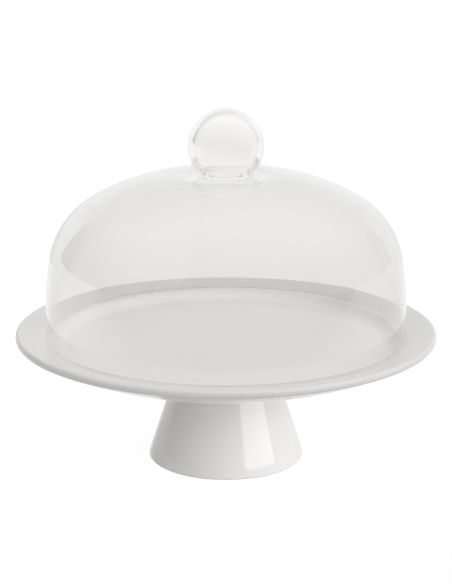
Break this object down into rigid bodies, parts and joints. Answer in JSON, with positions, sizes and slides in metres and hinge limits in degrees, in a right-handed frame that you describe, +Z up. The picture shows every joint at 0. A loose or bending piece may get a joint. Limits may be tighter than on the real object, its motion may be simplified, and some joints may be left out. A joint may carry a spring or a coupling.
{
  "type": "cake stand with dome",
  "caption": "Footed round cake stand in white glazed porcelain with a clear glass dome that lifts off by a hollow ball knob.",
  "frame": {"origin": "centre of the foot's resting plane, on the axis of revolution", "axes": "+Z up along the axis of revolution; +X and +Y are any two level directions at right angles"},
  "size_m": [0.3, 0.3, 0.2534],
  "materials": {
    "glazed_porcelain": "smooth white gloss glaze",
    "fired_slip": "white slip under gloss glaze",
    "clear_glass": "clear, fire-polished"
  },
  "bodies": {
    "stand": {"pedestal": "glazed_porcelain", "luting_ring": "fired_slip", "plate": "glazed_porcelain"},
    "dome": {"dome_shell": "clear_glass", "knob_collar": "clear_glass", "knob": "clear_glass"}
  },
  "joints": [
    {"name": "dome_lift", "type": "slide", "parent": "stand", "child": "dome", "axis": [0, 0, 1], "range_m": [0, 0.2]}
  ]
}
